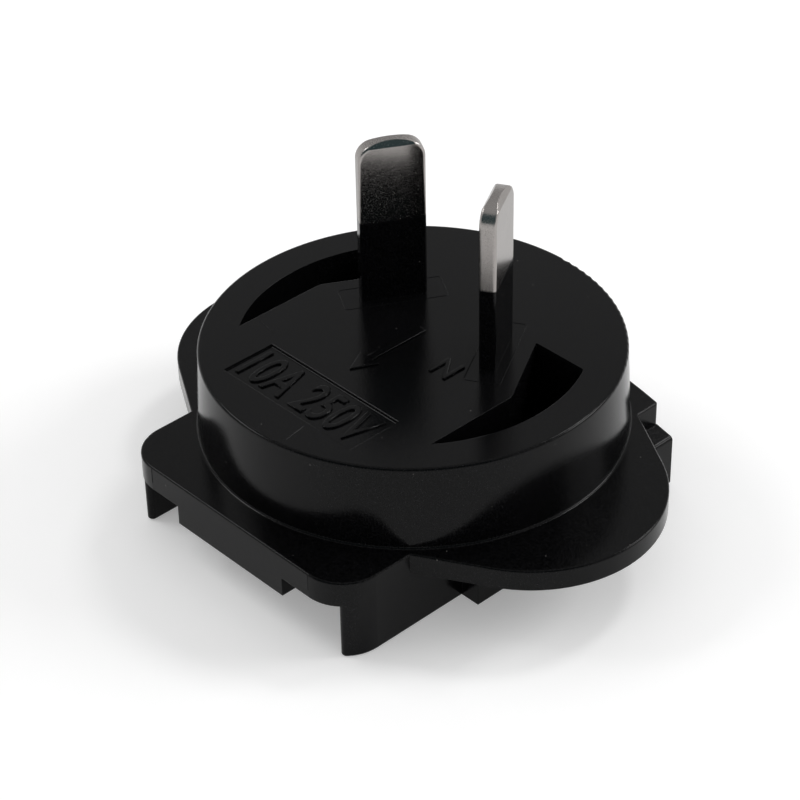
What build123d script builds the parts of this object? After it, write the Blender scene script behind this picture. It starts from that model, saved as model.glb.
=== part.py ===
from build123d import *
from math import asin, cos, radians, sin, sqrt, tan
import os

# Interchangeable plug clip: a two-pin mains plug face on a slide-on tongue.
# Millimetres. The origin is the centre of the plug face, +Z runs along the pins,
# and +Y is the slide axis, away from the front wall.

# Plug face and boss
FACE_DIAMETER = 39.7
FACE_EDGE_RADIUS = 0.3
BOSS_HEIGHT = 8.4
BOSS_DRAFT = 3.0
BOSS_FOOT_RADIUS = 0.12

# Flange: two wings, and a thicker tongue between them
FLANGE_LIP = 0.35
FLANGE_EDGE_RADIUS = 0.2
WING_SPAN = 55.5
WING_RADIUS = 12.7
WING_THICKNESS = 2.1
TONGUE_WIDTH = 30.0
TONGUE_THICKNESS = 2.55
TONGUE_FRONT = 22.97
TONGUE_CORNER_RADIUS = 4.15
TONGUE_REAR = 17.5
TONGUE_REAR_BULGE = 1.7
TONGUE_REAR_CORNER_RADIUS = 0.4

# Rails, guide ribs and front wall below the tongue
RAIL_DEPTH = 5.8
RAIL_THICKNESS = 1.9
RAIL_NOSE_RADIUS = 0.5
RAIL_EDGE_RADIUS = 0.2
RIB_FRONT = 8.35
RIB_REACH = 2.0
RIB_TOP_DROP = 0.5
RIB_EDGE_RADIUS = 0.4
FRONT_WALL_WIDTH = 14.4
FRONT_WALL_DEPTH = 2.0
FRONT_WALL_THICKNESS = 1.6

# Pins, as the two-pin mains standard sets them
PIN_PITCH = 13.7
PIN_SETBACK = 3.96
PIN_ANGLE = 30.0
PIN_WIDTH = 6.35
PIN_THICKNESS = 1.6
PIN_LENGTH = 16.9
PIN_EDGE_RADIUS = 0.3
TIP_CROWN = 0.85
TIP_CORNER_RADIUS = 1.7
TIP_BEVEL_LENGTH = 0.6
TIP_BEVEL_DEPTH = 0.42
CONTACT_LENGTH = 4.4
CONTACT_CHAMFER = 0.4

# Insulating sleeves with their feet set in the plug face
SLEEVE_LENGTH = 8.55
SLEEVE_WALL = 0.35
FOOT_LENGTH = 10.0
FOOT_THICKNESS = 3.4
FOOT_DEPTH = 3.0
FOOT_CORNER_RADIUS = 0.3
INSERT_CLEARANCE = 0.02

# Crescent recesses either side of the pins
RECESS_RIM = 3.55
RECESS_SPACING = 25.7
RECESS_FOOT_WALL = 1.5
RECESS_END = 7.6
RECESS_DEPTH = 7.5
RECESS_BEND_RADIUS = 1.5
RECESS_CORNER_RADIUS = 0.5

# Marking panel in the plug face
PANEL_WIDTH = 17.0
PANEL_HEIGHT = 5.75
PANEL_DISTANCE = 12.72
PANEL_DEPTH = 0.2

# Hollows cored from below, in front of and behind the pins
CORE_WALL = 2.4
CORE_ROOF = 2.4
CORE_CORNER_RADIUS = 0.6

# Largest share of a wall that a fillet may take
FILLET_SHARE = 0.8

SIDES = {"left": -1, "right": 1}

face_radius = FACE_DIAMETER / 2
boss_base_radius = face_radius + BOSS_HEIGHT * tan(radians(BOSS_DRAFT))
flange_top = -BOSS_HEIGHT
wing_bottom = flange_top - WING_THICKNESS
tongue_bottom = flange_top - TONGUE_THICKNESS
rail_bottom = tongue_bottom - RAIL_DEPTH
tongue_half = TONGUE_WIDTH / 2
contact_end = tongue_bottom - CONTACT_LENGTH


def at_pin(side):
    """Place of one pin: its width runs along local Y, its thickness along local X."""
    return Location((side * PIN_PITCH / 2, PIN_SETBACK, 0), (0, 0, side * PIN_ANGLE))


def slab(outline, top, depth):
    """An outline drawn at z = 0, lifted to a height and thickened downwards."""
    return extrude(Pos(0, 0, top) * outline, amount=depth, dir=(0, 0, -1))


def boss():
    """Round boss with moulding draft and a softened plug-face edge."""
    profile = Polyline((0, 0), (face_radius, 0), (boss_base_radius, flange_top), (0, flange_top), close=True)
    solid = revolve(make_face(Plane.XZ * profile), Axis.Z)
    rim = solid.edges().filter_by(GeomType.CIRCLE).sort_by(Axis.Z)[-1]
    return fillet(rim, FACE_EDGE_RADIUS)


def wing_outline(side):
    """One wing: flanks tangent to the boss's circle, running into a round end."""
    end_centre = WING_SPAN / 2 - WING_RADIUS
    lean = asin((boss_base_radius - WING_RADIUS) / end_centre)
    root = (side * boss_base_radius * sin(lean), boss_base_radius * cos(lean))
    turn = (side * (end_centre + WING_RADIUS * sin(lean)), WING_RADIUS * cos(lean))
    end = (side * WING_SPAN / 2, 0)
    rear_flank = Line(root, turn)
    round_end = ThreePointArc(turn, end, (turn[0], -turn[1]))
    front_flank = Line((turn[0], -turn[1]), (root[0], -root[1]))
    closing = Line((root[0], -root[1]), root)
    return make_face([rear_flank, round_end, front_flank, closing])


def tongue_outline():
    """Tongue with round front corners and a gently bowed rear edge."""
    inset = tongue_half - TONGUE_CORNER_RADIUS
    corner_y = -TONGUE_FRONT + TONGUE_CORNER_RADIUS
    edges = [
        Line((-tongue_half, TONGUE_REAR), (-tongue_half, corner_y)),
        CenterArc((-inset, corner_y), TONGUE_CORNER_RADIUS, 180, 90),
        Line((-inset, -TONGUE_FRONT), (inset, -TONGUE_FRONT)),
        CenterArc((inset, corner_y), TONGUE_CORNER_RADIUS, 270, 90),
        Line((tongue_half, corner_y), (tongue_half, TONGUE_REAR)),
        ThreePointArc(
            (tongue_half, TONGUE_REAR),
            (0, TONGUE_REAR + TONGUE_REAR_BULGE),
            (-tongue_half, TONGUE_REAR),
        ),
    ]
    outline = make_face(edges)
    rear_corners = outline.vertices().sort_by(Axis.Y)[-2:]
    return fillet(rear_corners, TONGUE_REAR_CORNER_RADIUS)


def flange():
    """Winged flange under the boss, with its upper edge softened and the tongue thickened."""
    outline = Circle(boss_base_radius + FLANGE_LIP) + tongue_outline()
    for side in SIDES.values():
        outline += wing_outline(side)
    plate = slab(outline, flange_top, WING_THICKNESS)
    upper_edges = plate.faces().sort_by(Axis.Z)[-1].outer_wire().edges()
    plate = fillet(upper_edges, FLANGE_EDGE_RADIUS)
    return plate + slab(tongue_outline(), wing_bottom, TONGUE_THICKNESS - WING_THICKNESS)


def rails():
    """Two side rails that follow the tongue's outline down to the rest plane, softened below."""
    gap_width = TONGUE_WIDTH - 2 * RAIL_THICKNESS
    gap_length = 2 * (TONGUE_REAR + TONGUE_FRONT)
    outline = tongue_outline() - Rectangle(gap_width, gap_length)
    outline = fillet(outline.vertices().sort_by(Axis.Y)[:2], RAIL_NOSE_RADIUS)
    walls = slab(outline, tongue_bottom, RAIL_DEPTH)
    return fillet(walls.faces().sort_by(Axis.Z)[:2].edges(), RAIL_EDGE_RADIUS)


def guide_rib(side):
    """Rib along the outside of a rail: solid up to the wing, with a sloping top behind it."""
    inner = side * (tongue_half - RAIL_THICKNESS / 2)
    root = side * tongue_half
    outer = side * (tongue_half + RIB_REACH)
    section = Polyline(
        (inner, tongue_bottom),
        (root, tongue_bottom),
        (outer, tongue_bottom - RIB_TOP_DROP),
        (outer, rail_bottom),
        (inner, rail_bottom),
        close=True,
    )
    rear_plane = Plane((0, TONGUE_REAR, 0), x_dir=(1, 0, 0), z_dir=(0, -1, 0))
    length = TONGUE_REAR + RIB_FRONT
    rib = extrude(rear_plane * make_face(section), amount=length)
    long_edges = rib.edges().filter_by(Axis.Y).sort_by(Axis.X)
    outer_edges = (long_edges[-2:] if side > 0 else long_edges[:2]).sort_by(Axis.Z)
    rib = fillet(outer_edges[-1], RIB_EDGE_RADIUS)
    centre = ((inner + outer) / 2, (TONGUE_REAR - RIB_FRONT) / 2)
    footprint = Pos(*centre) * Rectangle(abs(outer - inner), length)
    return rib + slab(footprint & wing_outline(side), wing_bottom, wing_bottom - rail_bottom)


def front_wall():
    """Short wall below the front edge of the tongue."""
    centre = -TONGUE_FRONT + FRONT_WALL_THICKNESS / 2
    outline = Pos(0, centre) * Rectangle(FRONT_WALL_WIDTH, FRONT_WALL_THICKNESS)
    return slab(outline, tongue_bottom, FRONT_WALL_DEPTH)


def recess_radius():
    """Radius of the crescents' outer wall."""
    return face_radius - RECESS_RIM


def recess_tip():
    """How far in front of the boss's axis the crescents come to a point."""
    return sqrt(recess_radius() ** 2 - (RECESS_SPACING / 2) ** 2)


def crescent(side):
    """Crescent recess: an arc outside, and inside a straight edge that bends along the pin."""
    lean = radians(PIN_ANGLE)
    pin_x = PIN_PITCH / 2
    stand_off = FOOT_THICKNESS / 2 + RECESS_FOOT_WALL
    straight = RECESS_SPACING / 2
    bend_y = PIN_SETBACK + (stand_off - (straight - pin_x) * cos(lean)) / sin(lean)
    end_inner_x = pin_x + (stand_off - (RECESS_END - PIN_SETBACK) * sin(lean)) / cos(lean)
    end_outer_x = sqrt(recess_radius() ** 2 - RECESS_END**2)
    tip = (side * straight, -recess_tip())
    bend = (side * straight, bend_y)
    end_inner = (side * end_inner_x, RECESS_END)
    end_outer = (side * end_outer_x, RECESS_END)
    middle = (side * recess_radius(), 0)
    outline = make_face(
        [
            Line(tip, bend),
            Line(bend, end_inner),
            Line(end_inner, end_outer),
            ThreePointArc(end_outer, middle, tip),
        ]
    )
    bend_corner = outline.vertices().sort_by_distance((bend[0], bend[1], 0))[0]
    outline = fillet(bend_corner, RECESS_BEND_RADIUS)
    outer_corner = outline.vertices().sort_by_distance((end_outer[0], end_outer[1], 0))[0]
    outline = fillet(outer_corner, RECESS_CORNER_RADIUS)
    return slab(outline, 0, RECESS_DEPTH)


def marking_panel():
    """Shallow rectangular sinking in the plug face."""
    return slab(Pos(0, -PANEL_DISTANCE) * Rectangle(PANEL_WIDTH, PANEL_HEIGHT), 0, PANEL_DEPTH)


def foot_reach():
    """How far behind the boss's axis the sleeves' feet reach."""
    lean = radians(PIN_ANGLE)
    return PIN_SETBACK + FOOT_LENGTH / 2 * cos(lean) + FOOT_THICKNESS / 2 * sin(lean)


def core(direction):
    """Hollow cored from below, in front of the pins (-1) or behind them (+1)."""
    chord = max(recess_tip(), foot_reach(), RECESS_END) + CORE_WALL
    radius = face_radius - CORE_WALL
    half_chord = sqrt(radius**2 - chord**2)
    ends = [(-half_chord, direction * chord), (half_chord, direction * chord)]
    outline = make_face([Line(ends[0], ends[1]), ThreePointArc(ends[1], (0, direction * radius), ends[0])])
    outline = fillet(outline.vertices(), CORE_CORNER_RADIUS)
    return slab(outline, -CORE_ROOF, -tongue_bottom - CORE_ROOF)


def foot_outline(clearance):
    """Rectangular foot of a sleeve, in the pin's own place."""
    thickness = FOOT_THICKNESS + 2 * clearance
    length = FOOT_LENGTH + 2 * clearance
    return RectangleRounded(thickness, length, FOOT_CORNER_RADIUS + clearance)


def blade_outline(clearance):
    """Full section of a blade, with its long edges softened."""
    thickness = PIN_THICKNESS + 2 * clearance
    width = PIN_WIDTH + 2 * clearance
    return RectangleRounded(thickness, width, PIN_EDGE_RADIUS + clearance)


def insert_seat(side):
    """Room in the housing for one sleeve's foot and for the blade that goes through."""
    foot_seat = slab(foot_outline(INSERT_CLEARANCE), 0, FOOT_DEPTH)
    blade_slot = slab(blade_outline(INSERT_CLEARANCE), 0, -tongue_bottom)
    return at_pin(side) * (foot_seat + blade_slot)


def housing():
    """The one-piece moulding."""
    body = boss() + flange()
    junction = body.edges().filter_by(GeomType.CIRCLE).filter_by_position(Axis.Z, flange_top, flange_top)
    ring = [edge for edge in junction if abs(edge.radius - boss_base_radius) < FLANGE_LIP / 2]
    body = fillet(ring, min(BOSS_FOOT_RADIUS, FILLET_SHARE * (FLANGE_LIP - FLANGE_EDGE_RADIUS)))
    body += rails() + front_wall()
    for side in SIDES.values():
        body += guide_rib(side)
        body -= crescent(side)
        body -= insert_seat(side)
        body -= core(side)
    return body - marking_panel()


def blade_blank():
    """Blade at its full section, with a crowned tip and its long and tip edges softened."""
    half_width = PIN_WIDTH / 2
    shoulder = PIN_LENGTH - TIP_CROWN
    edges = [
        Line((half_width, contact_end), (half_width, shoulder)),
        ThreePointArc((half_width, shoulder), (0, PIN_LENGTH), (-half_width, shoulder)),
        Line((-half_width, shoulder), (-half_width, contact_end)),
        Line((-half_width, contact_end), (half_width, contact_end)),
    ]
    outline = make_face([Plane.YZ * edge for edge in edges])
    outline = fillet(outline.vertices().sort_by(Axis.Z)[-2:], TIP_CORNER_RADIUS)
    blank = extrude(outline, amount=PIN_THICKNESS / 2, both=True)
    sides = blank.faces().sort_by(Axis.X)
    softened = [edge for side in (sides[0], sides[-1]) for edge in side.edges().sort_by(Axis.Z)[1:]]
    return fillet(softened, PIN_EDGE_RADIUS)


def pin(side):
    """Blade: bevelled at the tip, and necked where the sleeve grips it."""
    half_thickness = PIN_THICKNESS / 2
    half_width = PIN_WIDTH / 2
    neck_thickness = half_thickness - SLEEVE_WALL
    neck_width = half_width - SLEEVE_WALL
    edge_on = [
        (half_thickness - CONTACT_CHAMFER, contact_end),
        (half_thickness, contact_end + CONTACT_CHAMFER),
        (half_thickness, -FOOT_DEPTH),
        (neck_thickness, -FOOT_DEPTH),
        (neck_thickness, SLEEVE_LENGTH),
        (half_thickness, SLEEVE_LENGTH),
        (half_thickness, PIN_LENGTH - TIP_BEVEL_LENGTH),
        (half_thickness - TIP_BEVEL_DEPTH, PIN_LENGTH),
    ]
    broad = [
        (half_width, contact_end),
        (half_width, -FOOT_DEPTH),
        (neck_width, -FOOT_DEPTH),
        (neck_width, SLEEVE_LENGTH),
        (half_width, SLEEVE_LENGTH),
        (half_width, PIN_LENGTH),
    ]
    edge_on_face = make_face(Plane.XZ * Polyline(*edge_on, *mirrored(edge_on), close=True))
    broad_face = make_face(Plane.YZ * Polyline(*broad, *mirrored(broad), close=True))
    blade = blade_blank() & extrude(edge_on_face, amount=half_width, both=True)
    blade &= extrude(broad_face, amount=half_thickness, both=True)
    return at_pin(side) * blade


def mirrored(points):
    """The other half of a profile, in the order that closes it."""
    return [(-across, height) for across, height in reversed(points)]


def sleeve(side):
    """Insulating sleeve flush with the blade's tip, on a rectangular foot."""
    slot_wall = SLEEVE_WALL - INSERT_CLEARANCE
    neck_slot = Rectangle(PIN_THICKNESS - 2 * slot_wall, PIN_WIDTH - 2 * slot_wall)
    length = SLEEVE_LENGTH + FOOT_DEPTH
    body = slab(blade_outline(0), SLEEVE_LENGTH, length) + slab(foot_outline(0), 0, FOOT_DEPTH)
    return at_pin(side) * (body - slab(neck_slot, SLEEVE_LENGTH, length))


def write_parts():
    """One file for each piece."""
    os.makedirs("parts", exist_ok=True)
    export_step(housing(), "parts/housing.step")
    for name, side in SIDES.items():
        export_step(pin(side), f"parts/pin_{name}.step")
        export_step(sleeve(side), f"parts/sleeve_{name}.step")


write_parts()
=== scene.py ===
"""The looks of an interchangeable plug clip: black moulded housing and sleeves, nickel-plated blades."""
import math

import bmesh
import bpy
from mathutils import Matrix, Vector


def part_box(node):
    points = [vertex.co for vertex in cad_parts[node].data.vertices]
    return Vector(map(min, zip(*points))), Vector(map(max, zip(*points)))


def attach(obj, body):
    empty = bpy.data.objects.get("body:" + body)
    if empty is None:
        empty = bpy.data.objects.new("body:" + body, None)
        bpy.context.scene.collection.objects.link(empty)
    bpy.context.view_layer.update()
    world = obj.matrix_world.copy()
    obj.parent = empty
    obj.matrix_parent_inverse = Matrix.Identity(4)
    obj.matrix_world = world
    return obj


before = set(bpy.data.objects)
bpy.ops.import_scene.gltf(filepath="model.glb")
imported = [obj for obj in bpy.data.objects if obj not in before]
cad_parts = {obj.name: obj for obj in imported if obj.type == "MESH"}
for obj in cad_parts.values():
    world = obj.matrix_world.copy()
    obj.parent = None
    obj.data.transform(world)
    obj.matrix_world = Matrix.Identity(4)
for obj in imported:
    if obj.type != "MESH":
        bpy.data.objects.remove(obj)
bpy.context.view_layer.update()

MM = 0.001
BODY = "root"

# Sizes of the part that the marks and the finishes follow
PIN_ANGLE = math.radians(30.0)
PIN_PITCH = 13.7 * MM
PIN_SETBACK = 3.96 * MM
FOOT_LENGTH = 10.0 * MM
FOOT_THICKNESS = 3.4 * MM
FOOT_CORNER = 0.3 * MM
FACE_RADIUS = 19.85 * MM
FACE_EDGE_RADIUS = 0.3 * MM
BOSS_DRAFT = math.radians(3.0)
BOSS_FOOT = 0.25 * MM
BOSS_FOOT_MARGIN = 0.1 * BOSS_FOOT
FLANGE_TOP = -8.4 * MM
PANEL_FLOOR = -0.2 * MM
PANEL_WIDTH = 17.0 * MM
PANEL_HEIGHT = 5.75 * MM
PANEL_CENTRE = Vector((0.0, -12.72 * MM, 0.0))
TONGUE_FRONT = -22.97 * MM
SIDES = {"left": -1, "right": 1}

# Raised marks on the plug face
MARK_HEIGHT = 0.18 * MM
MARK_SINK = 0.06 * MM
MARK_ROUNDING = 0.06 * MM
MARK_ROUNDING_STEPS = 3
TEXT_ROUNDING = 0.018
TEXT_ROUNDING_STEPS = 2
TEXT_DEPTH = 0.03
TEXT_SPACING = 1.05
RATING = "10A 250V"
RATING_WIDTH = 15.6 * MM
RATING_CAP = 4.4 * MM
POLARITY = "N"
POLARITY_WIDTH = 2.1 * MM
POLARITY_CAP = 2.6 * MM
POLARITY_CENTRE = Vector((5.7 * MM, -1.2 * MM, 0.0))
ARROW_TIP = Vector((-0.4 * MM, -7.5 * MM, 0.0))
ARROW_HEAD_LENGTH = 2.5 * MM
ARROW_HALF_WIDTH = 1.3 * MM
ARROW_SHAFT_WIDTH = 0.8 * MM
ARROW_LENGTH = 9.2 * MM

# Fine beads that the mould leaves: round the feet of the sleeves, at the panel, and where the melt met
BEAD_WIDTH = 0.12 * MM
BEAD_SLOPE = 0.7
BEAD_SINK = 0.01 * MM
PANEL_RIM = 0.09 * MM
CORNER_STEPS = 4
MELT_LINES = ((-12.1, -8.1, -9.8, -8.5), (3.5, -18.6, 3.1, -16.2))
SEAM_PLACE = 10.75 * MM
SEAM_SPAN = (-10.2 * MM, -8.6 * MM)

# Black plastic: colours, edges, grain, marks of drawing from the mould, smears and dust
PLASTIC_DARK = (0.0008, 0.0008, 0.0009, 1.0)
PLASTIC_LIGHT = (0.0048, 0.0048, 0.0053, 1.0)
PLASTIC_GLOSS = 0.12
PLASTIC_SOFTENING = 0.06 * MM
FLAT_RANGE = (0.8, 0.97)
FACE_BLEND = (0.6 * FLANGE_TOP, 0.2 * FLANGE_TOP)
GRAIN_SIZE = 0.16 * MM
GRAIN_RANGE = (0.3, 0.7)
GRAIN_SPREAD = (-0.03, 0.05)
GRAIN_SHARE = (0.5, 1.0)
FLECK_RANGE = (0.35, 0.65)
DRAW_SIZE = 0.14 * MM
DRAW_STRETCH = (1.0, 1.0, 0.08)
DRAW_SHARE = (0.15, 0.0)
SMEAR_SIZE = 6.0 * MM
SMEAR_RANGE = (0.3, 0.7)
SMEAR_SPREAD = (-0.02, 0.02)
DUST_COLOUR = (0.13, 0.125, 0.12, 1.0)
DUST_SPACING = 1.3 * MM
DUST_SIZE = 0.055 * MM
DUST_SHARE = 0.25

# Roughness of the plug face, the sides and the flange, and the depth of the grain
HOUSING_FINISH = (0.13, 0.15, 0.13, 0.012 * MM)
SLEEVE_FINISH = (0.13, 0.1, 0.13, 0.008 * MM)
MARK_FINISH = (0.1, 0.08, 0.1, 0.003 * MM)

# Nickel plate: colours, roughness, pits, shear marks on the edges and clouding
NICKEL_DARK = (0.315, 0.296, 0.284, 1.0)
NICKEL_LIGHT = (0.365, 0.345, 0.332, 1.0)
NICKEL_TINT = (0.77, 0.77, 0.77, 1.0)
NICKEL_SOFTENING = 0.12 * MM
NICKEL_RELIEF = 0.002 * MM
NICKEL_ROUGHNESS = (0.27, 0.135)
BROAD_RANGE = (0.5, 0.9)
PIT_SIZE = 0.085 * MM
PIT_RANGE = (0.5, 0.74)
PIT_SPREAD = (-0.015, 0.16)
PIT_SHARE = 0.5
SHEAR_SIZE = 0.1 * MM
SHEAR_STRETCH = (0.05, 0.05, 1.0)
CLOUD_SIZE = 2.5 * MM

EDGE_SAMPLES = 6

# Studio
FLOOR_RADIUS = 0.9
WALL_HEIGHT = 0.3
SWEEP_RADIUS = 0.2
SWEEP_STEPS = 16
SWEEP_SEGMENTS = 96
FLOOR_DROP = 0.01 * MM
FLOOR_WHITE = 0.89
FLOOR_GLOW = 0.25
FLOOR_SHADE = 0.985
FLOOR_ROUGHNESS = 0.95
FIBRE_SIZE = 4.0 * MM
WORLD_LEVEL = 0.53
CURTAIN_RADIUS = 0.5
CURTAIN_TURN = (math.radians(-112.0), math.radians(4.0))
CURTAIN_RISE = (math.radians(9.0), math.radians(64.0))
CURTAIN_STEPS = 20
CURTAIN_COLOUR = (0.066, 0.106, 0.114, 1.0)

# Lamps: place, width, height and power
LAMPS = {
    "right_box": ((0.351, 0.5, 0.339), 0.36, 0.24, 1.55),
    "back_box": ((0.03, 0.468, 0.585), 0.14, 0.14, 0.85),
    "left_strip": ((-0.5, -0.21, 0.513), 0.38, 0.14, 1.0),
}

# Camera, as the photograph was taken
VIEW_AZIMUTH = math.radians(47.4)
VIEW_ELEVATION = math.radians(35.79)
VIEW_ROLL = math.radians(-1.19)
VIEW_DISTANCE = 240.0 * MM
VIEW_TARGET = Vector((0.24 * MM, -1.97 * MM, -5.82 * MM))
LENS = 116.24
SENSOR = 36.0
NEAR_LIMIT = 1.0 * MM


# Shader nodes

def new_material(name):
    material = bpy.data.materials.new(name)
    material.use_nodes = True
    tree = material.node_tree
    return material, tree, tree.nodes["Principled BSDF"]


def feed(tree, socket, value):
    """Link a value that another node gives, or set a plain one."""
    if isinstance(value, bpy.types.NodeSocket):
        tree.links.new(value, socket)
    else:
        socket.default_value = value


def math_node(tree, operation, *values):
    node = tree.nodes.new("ShaderNodeMath")
    node.operation = operation
    for socket, value in zip(node.inputs, values):
        feed(tree, socket, value)
    return node.outputs[0]


def mapped(tree, value, low, high, to_low, to_high):
    node = tree.nodes.new("ShaderNodeMapRange")
    tree.links.new(value, node.inputs["Value"])
    node.inputs["From Min"].default_value = low
    node.inputs["From Max"].default_value = high
    node.inputs["To Min"].default_value = to_low
    node.inputs["To Max"].default_value = to_high
    return node.outputs["Result"]


def mixed_colour(tree, factor, first, second):
    node = tree.nodes.new("ShaderNodeMix")
    node.data_type = "RGBA"
    tree.links.new(factor, node.inputs["Factor"])
    for socket, value in zip((s for s in node.inputs if s.type == "RGBA"), (first, second)):
        feed(tree, socket, value)
    return next(s for s in node.outputs if s.type == "RGBA")


def coordinates(tree):
    return tree.nodes.new("ShaderNodeTexCoord")


def stretched(tree, vector, scale):
    node = tree.nodes.new("ShaderNodeMapping")
    node.inputs["Scale"].default_value = scale
    tree.links.new(vector, node.inputs["Vector"])
    return node.outputs["Vector"]


def noise(tree, vector, grain, detail=2.0):
    node = tree.nodes.new("ShaderNodeTexNoise")
    node.inputs["Scale"].default_value = 1.0 / grain
    node.inputs["Detail"].default_value = detail
    tree.links.new(vector, node.inputs["Vector"])
    return node.outputs["Fac"]


def bump(tree, height, depth, normal=None):
    node = tree.nodes.new("ShaderNodeBump")
    node.inputs["Strength"].default_value = 1.0
    node.inputs["Distance"].default_value = depth
    tree.links.new(height, node.inputs["Height"])
    if normal is not None:
        tree.links.new(normal, node.inputs["Normal"])
    return node.outputs["Normal"]


def softened(tree, radius):
    """The surface normal, rounded over edges by the given radius."""
    node = tree.nodes.new("ShaderNodeBevel")
    node.samples = EDGE_SAMPLES
    node.inputs["Radius"].default_value = radius
    return node.outputs["Normal"]


def vector_node(tree, operation, *values):
    node = tree.nodes.new("ShaderNodeVectorMath")
    node.operation = operation
    for socket, value in zip(node.inputs, values):
        feed(tree, socket, value)
    return node.outputs["Value" if operation in ("LENGTH", "DOT_PRODUCT") else "Vector"]


def scaled(tree, vector, factor):
    node = tree.nodes.new("ShaderNodeVectorMath")
    node.operation = "SCALE"
    tree.links.new(vector, node.inputs[0])
    tree.links.new(factor, node.inputs["Scale"])
    return node.outputs["Vector"]


def chosen_normal(tree, factor, usual, special):
    node = tree.nodes.new("ShaderNodeMix")
    node.data_type = "VECTOR"
    tree.links.new(factor, node.inputs["Factor"])
    sockets = [s for s in node.inputs if s.type == "VECTOR" and s.name in ("A", "B")]
    tree.links.new(usual, sockets[0])
    tree.links.new(special, sockets[1])
    return next(s for s in node.outputs if s.type == "VECTOR")


def turned(tree, radial, reach, rise):
    """A normal that leans outwards by reach and upwards by rise, but no flatter than the boss's wall."""
    upward = tree.nodes.new("ShaderNodeCombineXYZ")
    drafted = math_node(tree, "MULTIPLY", reach, math.tan(BOSS_DRAFT))
    tree.links.new(math_node(tree, "MAXIMUM", rise, drafted), upward.inputs["Z"])
    return vector_node(tree, "NORMALIZE", vector_node(
        tree, "ADD", scaled(tree, radial, reach), upward.outputs["Vector"]
    ))


def boss_rounded(tree, position, height, normal):
    """The given normal, but even all round the boss: over its edge, down its wall and into its foot."""
    rim_centre = FACE_RADIUS - FACE_EDGE_RADIUS * math.tan(math.pi / 4 - BOSS_DRAFT / 2)
    wall_foot = FACE_RADIUS - FLANGE_TOP * math.tan(BOSS_DRAFT)
    outward = vector_node(tree, "MULTIPLY", position, (1.0, 1.0, 0.0))
    radial = vector_node(tree, "NORMALIZE", outward)
    distance = vector_node(tree, "LENGTH", outward)
    reach = math_node(tree, "SUBTRACT", distance, rim_centre)
    above_foot = math_node(tree, "SUBTRACT", height, FLANGE_TOP + BOSS_FOOT)
    on_wall = math_node(tree, "GREATER_THAN", math_node(tree, "MINIMUM", reach, above_foot), 0.0)
    wall = turned(tree, radial, reach, math_node(tree, "ADD", height, FACE_EDGE_RADIUS))
    inset = math_node(tree, "SUBTRACT", wall_foot + BOSS_FOOT, distance)
    below = math_node(tree, "SUBTRACT", FLANGE_TOP + BOSS_FOOT, height)
    outside = math_node(tree, "SUBTRACT", distance, wall_foot - BOSS_FOOT)
    above_flange = math_node(tree, "SUBTRACT", height, FLANGE_TOP - BOSS_FOOT_MARGIN)
    in_ring = math_node(tree, "MINIMUM", math_node(tree, "MINIMUM", inset, outside), above_flange)
    in_foot = math_node(tree, "GREATER_THAN", math_node(tree, "MINIMUM", in_ring, below), 0.0)
    foot = turned(tree, radial, inset, below)
    return chosen_normal(tree, in_foot, chosen_normal(tree, on_wall, normal, wall), foot)


def dust(tree, vector, spacing, size, share):
    """A mask of sparse round specks: only the given share of the cells holds one."""
    cells = tree.nodes.new("ShaderNodeTexVoronoi")
    cells.inputs["Scale"].default_value = 1.0 / spacing
    tree.links.new(vector, cells.inputs["Vector"])
    near = math_node(tree, "LESS_THAN", cells.outputs["Distance"], size / spacing)
    pick = tree.nodes.new("ShaderNodeSeparateColor")
    tree.links.new(cells.outputs["Color"], pick.inputs["Color"])
    chosen = math_node(tree, "LESS_THAN", pick.outputs["Red"], share)
    return math_node(tree, "MULTIPLY", near, chosen)


# Finishes

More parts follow.
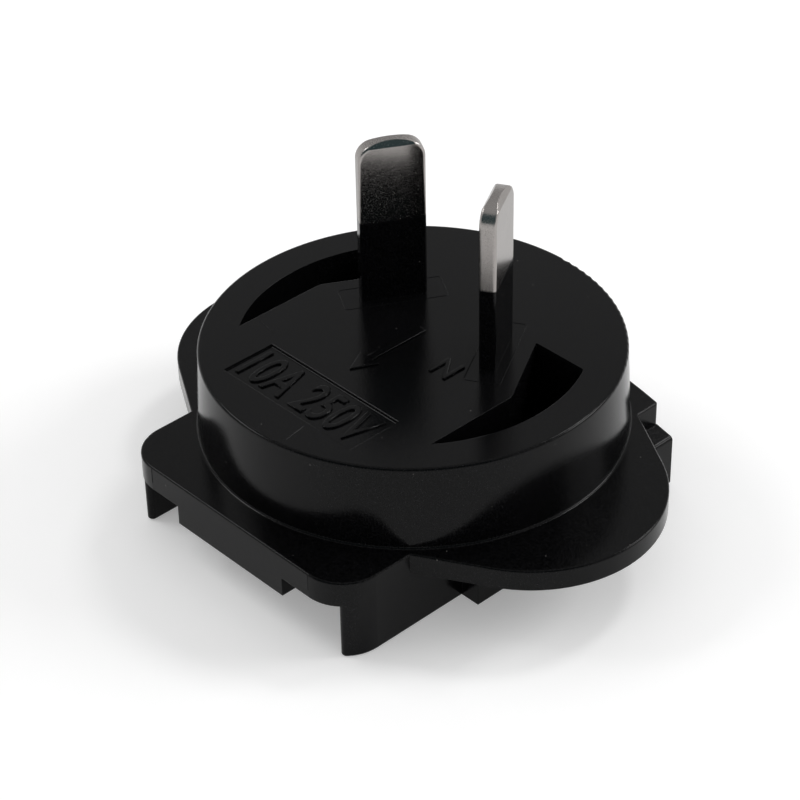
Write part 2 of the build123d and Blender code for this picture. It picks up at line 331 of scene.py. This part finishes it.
def moulded_plastic(name, face_roughness, side_roughness, flange_roughness, grain_depth):
    """Satin black moulding: spark-eroded grain, finest on the plug face, soft edges and a little dust."""
    material, tree, shader = new_material(name)
    place = coordinates(tree)
    across = tree.nodes.new("ShaderNodeSeparateXYZ")
    tree.links.new(place.outputs["Normal"], across.inputs["Vector"])
    height = tree.nodes.new("ShaderNodeSeparateXYZ")
    tree.links.new(place.outputs["Object"], height.inputs["Vector"])
    flat = mapped(tree, math_node(tree, "ABSOLUTE", across.outputs["Z"]), *FLAT_RANGE, 0.0, 1.0)
    top = mapped(tree, height.outputs["Z"], *FACE_BLEND, flange_roughness, face_roughness)
    grain = noise(tree, place.outputs["Object"], GRAIN_SIZE, 3.0)
    draw = noise(tree, stretched(tree, place.outputs["Object"], DRAW_STRETCH), DRAW_SIZE)
    smear = noise(tree, place.outputs["Object"], SMEAR_SIZE, 4.0)
    specks = dust(tree, place.outputs["Object"], DUST_SPACING, DUST_SIZE, DUST_SHARE)
    flecked = mapped(tree, grain, *FLECK_RANGE, 0.0, 1.0)
    tone = mixed_colour(tree, flecked, PLASTIC_DARK, PLASTIC_LIGHT)
    colour = mixed_colour(tree, specks, tone, DUST_COLOUR)
    tree.links.new(colour, shader.inputs["Base Color"])
    above = math_node(tree, "MULTIPLY", top, flat)
    beside = math_node(tree, "MULTIPLY", math_node(tree, "SUBTRACT", 1.0, flat), side_roughness)
    spread = mapped(tree, smear, *SMEAR_RANGE, *SMEAR_SPREAD)
    fine = mapped(tree, grain, *GRAIN_RANGE, *GRAIN_SPREAD)
    broad = math_node(tree, "ADD", above, beside)
    rough = math_node(tree, "ADD", broad, math_node(tree, "ADD", spread, fine))
    tree.links.new(rough, shader.inputs["Roughness"])
    drawn = math_node(tree, "MULTIPLY", draw, mapped(tree, flat, 0.0, 1.0, *DRAW_SHARE))
    grained = math_node(tree, "MULTIPLY", grain, mapped(tree, flat, 0.0, 1.0, *GRAIN_SHARE))
    relief = math_node(tree, "ADD", grained, drawn)
    edges = softened(tree, PLASTIC_SOFTENING)
    normal = boss_rounded(tree, place.outputs["Object"], height.outputs["Z"], edges)
    tree.links.new(bump(tree, relief, grain_depth, normal), shader.inputs["Normal"])
    shader.inputs["Specular IOR Level"].default_value = PLASTIC_GLOSS
    return material


def nickel_plate(name, lean):
    """Plated blade: smooth broad faces with a fine speckle, rougher edges that the shears have scored."""
    material, tree, shader = new_material(name)
    place = coordinates(tree)
    facing = (math.cos(lean), math.sin(lean), 0.0)
    across = vector_node(tree, "DOT_PRODUCT", place.outputs["Normal"], facing)
    broad = mapped(tree, math_node(tree, "ABSOLUTE", across), *BROAD_RANGE, 0.0, 1.0)
    edge = math_node(tree, "SUBTRACT", 1.0, broad)
    pits = noise(tree, place.outputs["Object"], PIT_SIZE)
    shear = noise(tree, stretched(tree, place.outputs["Object"], SHEAR_STRETCH), SHEAR_SIZE)
    cloud = noise(tree, place.outputs["Object"], CLOUD_SIZE, 3.0)
    tone = mixed_colour(tree, cloud, NICKEL_DARK, NICKEL_LIGHT)
    tree.links.new(tone, shader.inputs["Base Color"])
    shader.inputs["Specular Tint"].default_value = NICKEL_TINT
    shader.inputs["Metallic"].default_value = 1.0
    base = mapped(tree, broad, 0.0, 1.0, *NICKEL_ROUGHNESS)
    fine = mapped(tree, pits, *PIT_RANGE, *PIT_SPREAD)
    tree.links.new(math_node(tree, "ADD", base, fine), shader.inputs["Roughness"])
    sheared = math_node(tree, "MULTIPLY", shear, edge)
    relief = math_node(tree, "ADD", math_node(tree, "MULTIPLY", pits, PIT_SHARE), sheared)
    normal = bump(tree, relief, NICKEL_RELIEF, softened(tree, NICKEL_SOFTENING))
    tree.links.new(normal, shader.inputs["Normal"])
    return material


def floor_paper(name):
    """White paper that stays white in the picture and in reflections, and keeps the shadow."""
    material, tree, shader = new_material(name)
    place = coordinates(tree)
    fibre = noise(tree, place.outputs["Object"], FIBRE_SIZE, 3.0)
    white = (FLOOR_WHITE, FLOOR_WHITE, FLOOR_WHITE, 1.0)
    soft = tuple(FLOOR_SHADE * v for v in white[:3]) + (1.0,)
    tree.links.new(mixed_colour(tree, fibre, soft, white), shader.inputs["Base Color"])
    shader.inputs["Roughness"].default_value = FLOOR_ROUGHNESS
    shader.inputs["Specular IOR Level"].default_value = 0.0
    rays = tree.nodes.new("ShaderNodeLightPath").outputs
    seen = math_node(tree, "MAXIMUM", rays["Is Camera Ray"], rays["Is Glossy Ray"])
    seen = math_node(tree, "MAXIMUM", seen, rays["Is Transmission Ray"])
    shader.inputs["Emission Color"].default_value = (1.0, 1.0, 1.0, 1.0)
    tree.links.new(math_node(tree, "MULTIPLY", seen, FLOOR_GLOW), shader.inputs["Emission Strength"])
    return material


def curtain_cloth(name):
    """Dark cloth that only reflections show."""
    material, tree, shader = new_material(name)
    shader.inputs["Base Color"].default_value = (0.0, 0.0, 0.0, 1.0)
    shader.inputs["Specular IOR Level"].default_value = 0.0
    shader.inputs["Emission Color"].default_value = CURTAIN_COLOUR
    shader.inputs["Emission Strength"].default_value = 1.0
    return material


# Marks

def add_object(name, data):
    thing = bpy.data.objects.new(name, data)
    bpy.context.scene.collection.objects.link(thing)
    return thing


def finished_mesh(name, shape):
    mesh = bpy.data.meshes.new(name)
    shape.to_mesh(mesh)
    shape.free()
    return mesh


def add_piece(name, mesh, material):
    piece = add_object(name, mesh)
    mesh.materials.clear()
    mesh.materials.append(material)
    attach(piece, BODY)
    return piece


def raised_text(words, width, cap, centre, base):
    """Lettering of the given width and cap height, standing on the height base."""
    curve = bpy.data.curves.new("lettering", "FONT")
    curve.body = words
    curve.extrude = TEXT_DEPTH
    curve.bevel_depth = TEXT_ROUNDING
    curve.bevel_resolution = TEXT_ROUNDING_STEPS
    curve.offset = -TEXT_ROUNDING / 3
    curve.space_character = TEXT_SPACING
    source = add_object("lettering", curve)
    bpy.context.view_layer.update()
    graph = bpy.context.evaluated_depsgraph_get()
    mesh = bpy.data.meshes.new_from_object(source.evaluated_get(graph))
    bpy.data.objects.remove(source)
    low = Vector(min(v.co[i] for v in mesh.vertices) for i in range(3))
    high = Vector(max(v.co[i] for v in mesh.vertices) for i in range(3))
    size = high - low
    scale = Matrix.Diagonal((width / size.x, cap / size.y, (MARK_HEIGHT + MARK_SINK) / size.z, 1.0))
    middle = Vector(((low.x + high.x) / 2, (low.y + high.y) / 2, low.z))
    foot = Vector((centre.x, centre.y, base - MARK_SINK))
    mesh.transform(Matrix.Translation(foot) @ scale @ Matrix.Translation(-middle))
    return mesh


def prism(name, outline, base, top):
    """An upright solid with the given plan outline."""
    shape = bmesh.new()
    face = shape.faces.new([shape.verts.new((x, y, base)) for x, y in outline])
    raised = bmesh.ops.extrude_face_region(shape, geom=[face])
    moved = [v for v in raised["geom"] if isinstance(v, bmesh.types.BMVert)]
    bmesh.ops.translate(shape, verts=moved, vec=(0.0, 0.0, top - base))
    bmesh.ops.recalc_face_normals(shape, faces=shape.faces)
    return finished_mesh(name, shape)


def arrow_outline():
    """Slide arrow: a shaft with a pointed head, aimed at the front of the clip."""
    shaft = ARROW_SHAFT_WIDTH / 2
    shoulder = ARROW_HEAD_LENGTH
    half = [(0.0, 0.0), (ARROW_HALF_WIDTH, shoulder), (shaft, shoulder), (shaft, ARROW_LENGTH)]
    outline = half + [(-x, y) for x, y in reversed(half[1:])]
    return [(ARROW_TIP.x + x, ARROW_TIP.y + y) for x, y in outline]


def rounded_rectangle(length, width, corner):
    """Plan points of a rectangle with round corners, about the origin, lengthwise along Y."""
    points = []
    for quarter, (x, y) in enumerate(((1, 1), (-1, 1), (-1, -1), (1, -1))):
        middle = Vector((x * (width / 2 - corner), y * (length / 2 - corner)))
        for step in range(CORNER_STEPS + 1):
            turn = math.pi / 2 * (quarter + step / CORNER_STEPS)
            points.append(middle + corner * Vector((math.cos(turn), math.sin(turn))))
    return points


def bead(name, path, closed, half_width=BEAD_WIDTH / 2):
    """A low ridge along plan points on the plane z = 0, with its foot sunk a little."""
    crest = half_width * BEAD_SLOPE
    shape = bmesh.new()
    count = len(path)
    rows = []
    for k, point in enumerate(path):
        before = path[k - 1] if closed or k > 0 else point
        after = path[(k + 1) % count] if closed or k < count - 1 else point
        along = (after - before).normalized()
        aside = Vector((-along.y, along.x)) * half_width
        left, right = point + aside, point - aside
        rows.append([
            shape.verts.new((left.x, left.y, -BEAD_SINK)),
            shape.verts.new((point.x, point.y, crest)),
            shape.verts.new((right.x, right.y, -BEAD_SINK)),
        ])
    pairs = zip(rows, rows[1:] + rows[:1]) if closed else zip(rows, rows[1:])
    for here, there in pairs:
        for k in range(3):
            after = (k + 1) % 3
            shape.faces.new((here[k], here[after], there[after], there[k]))
    if not closed:
        shape.faces.new(rows[0])
        shape.faces.new(rows[-1])
    bmesh.ops.recalc_face_normals(shape, faces=shape.faces)
    return finished_mesh(name, shape)


def add_beads(material):
    for side, sign in SIDES.items():
        outline = bead("foot_outline", rounded_rectangle(FOOT_LENGTH, FOOT_THICKNESS, FOOT_CORNER), True)
        centre = Vector((sign * PIN_PITCH / 2, PIN_SETBACK, 0.0))
        outline.transform(Matrix.Translation(centre) @ Matrix.Rotation(sign * PIN_ANGLE, 4, "Z"))
        add_piece(f"foot_outline_{side}", outline, material)
        low, high = SEAM_SPAN
        seam = bead("front_seam", [Vector((0.0, low)), Vector((0.0, high))], False)
        seam.transform(Matrix.Rotation(math.pi / 2, 4, "X"))
        seam.transform(Matrix.Translation((sign * SEAM_PLACE, TONGUE_FRONT, 0.0)))
        add_piece(f"front_seam_{side}", seam, material)
    half = PANEL_WIDTH / 2
    far = PANEL_CENTRE.y + PANEL_HEIGHT / 2
    for name, shift, level in (("panel_rim", PANEL_RIM, 0.0), ("panel_step", -PANEL_RIM, PANEL_FLOOR)):
        edge = bead(name, [Vector((-half, far + shift)), Vector((half, far + shift))], False, PANEL_RIM)
        edge.transform(Matrix.Translation((0.0, 0.0, level)))
        add_piece(name, edge, material)
    for number, (x0, y0, x1, y1) in enumerate(MELT_LINES, 1):
        line = bead("melt_line", [Vector((x0, y0)) * MM, Vector((x1, y1)) * MM], False)
        add_piece(f"melt_line_{number}", line, material)


def add_marks(material):
    rating = raised_text(RATING, RATING_WIDTH, RATING_CAP, PANEL_CENTRE, PANEL_FLOOR)
    add_piece("rating_mark", rating, material)
    polarity = raised_text(POLARITY, POLARITY_WIDTH, POLARITY_CAP, POLARITY_CENTRE, 0.0)
    add_piece("polarity_mark", polarity, material)
    arrow = prism("slide_arrow", arrow_outline(), -MARK_SINK, MARK_HEIGHT)
    piece = add_piece("slide_arrow", arrow, material)
    edges = piece.modifiers.new("rounding", "BEVEL")
    edges.width = MARK_ROUNDING
    edges.segments = MARK_ROUNDING_STEPS
    add_beads(material)


# Studio

def sweep_profile():
    """Radius and height of the flat floor's edge, the curve and the wall, outwards."""
    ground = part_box("housing")[0].z - FLOOR_DROP
    points = [(FLOOR_RADIUS - SWEEP_RADIUS, ground)]
    for step in range(1, SWEEP_STEPS + 1):
        turn = math.pi / 2 * step / SWEEP_STEPS
        out = FLOOR_RADIUS - SWEEP_RADIUS + SWEEP_RADIUS * math.sin(turn)
        points.append((out, ground + SWEEP_RADIUS * (1.0 - math.cos(turn))))
    points.append((FLOOR_RADIUS, ground + WALL_HEIGHT))
    return points


def add_floor():
    shape = bmesh.new()
    rings = []
    for radius, height in sweep_profile():
        turns = [2 * math.pi * k / SWEEP_SEGMENTS for k in range(SWEEP_SEGMENTS)]
        rings.append([shape.verts.new((radius * math.cos(a), radius * math.sin(a), height)) for a in turns])
    shape.faces.new(rings[0])
    for inner, outer in zip(rings, rings[1:]):
        for k in range(SWEEP_SEGMENTS):
            after = (k + 1) % SWEEP_SEGMENTS
            shape.faces.new((inner[k], outer[k], outer[after], inner[after])).smooth = True
    mesh = finished_mesh("floor", shape)
    floor = add_object("floor", mesh)
    mesh.materials.append(floor_paper("floor_paper"))


def between(span, step, steps):
    return span[0] + (span[1] - span[0]) * step / steps


def add_curtain():
    """A dark curtain drawn round the camera's side of the part, seen in reflections alone."""
    shape = bmesh.new()
    rows = []
    for row in range(CURTAIN_STEPS + 1):
        rise = between(CURTAIN_RISE, row, CURTAIN_STEPS)
        out, up = CURTAIN_RADIUS * math.cos(rise), CURTAIN_RADIUS * math.sin(rise)
        turns = [between(CURTAIN_TURN, k, CURTAIN_STEPS) for k in range(CURTAIN_STEPS + 1)]
        rows.append([shape.verts.new((out * math.cos(a), out * math.sin(a), up)) for a in turns])
    for low, high in zip(rows, rows[1:]):
        for k in range(CURTAIN_STEPS):
            shape.faces.new((low[k], low[k + 1], high[k + 1], high[k])).smooth = True
    mesh = finished_mesh("curtain", shape)
    mesh.materials.append(curtain_cloth("curtain_cloth"))
    curtain = add_object("curtain", mesh)
    curtain.visible_camera = False
    curtain.visible_diffuse = False
    curtain.visible_shadow = False
    curtain.visible_transmission = False
    curtain.visible_volume_scatter = False


def add_lamp(name, place, width, height, power):
    """An oval soft box that faces the part."""
    lamp = bpy.data.lights.new(name, "AREA")
    lamp.shape = "ELLIPSE"
    lamp.size = width
    lamp.size_y = height
    lamp.energy = power
    holder = add_object(name, lamp)
    holder.location = place
    holder.rotation_euler = (VIEW_TARGET - holder.location).to_track_quat("-Z", "Y").to_euler()


def add_light():
    for name, setting in LAMPS.items():
        add_lamp(name, *setting)
    world = bpy.data.worlds.new("studio")
    bpy.context.scene.world = world
    world.use_nodes = True
    shade = world.node_tree.nodes["Background"]
    shade.inputs["Color"].default_value = (1.0, 1.0, 1.0, 1.0)
    shade.inputs["Strength"].default_value = WORLD_LEVEL


def add_camera():
    """The photograph's camera, aimed at the part and rolled a little."""
    level = math.cos(VIEW_ELEVATION)
    rise = math.sin(VIEW_ELEVATION)
    back = Vector((math.sin(VIEW_AZIMUTH) * level, -math.cos(VIEW_AZIMUTH) * level, rise))
    right = Vector((math.cos(VIEW_AZIMUTH), math.sin(VIEW_AZIMUTH), 0.0))
    up = back.cross(right)
    turn = Matrix((right, up, back)).transposed().to_4x4() @ Matrix.Rotation(VIEW_ROLL, 4, "Z")
    lens = bpy.data.cameras.new("camera")
    lens.lens = LENS
    lens.sensor_width = SENSOR
    lens.clip_start = NEAR_LIMIT
    camera = add_object("camera", lens)
    camera.matrix_world = Matrix.Translation(VIEW_TARGET + back * VIEW_DISTANCE) @ turn
    bpy.context.scene.camera = camera


def dress(node, material):
    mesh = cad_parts[node].data
    mesh.materials.clear()
    mesh.materials.append(material)


dress("housing", moulded_plastic("housing_plastic", *HOUSING_FINISH))
sleeve = moulded_plastic("sleeve_plastic", *SLEEVE_FINISH)
for side, sign in SIDES.items():
    dress(f"pin_{side}", nickel_plate(f"nickel_{side}", sign * PIN_ANGLE))
    dress(f"sleeve_{side}", sleeve)
add_marks(moulded_plastic("mark_plastic", *MARK_FINISH))
add_floor()
add_curtain()
add_light()
add_camera()
bpy.context.scene.view_settings.view_transform = "Standard"
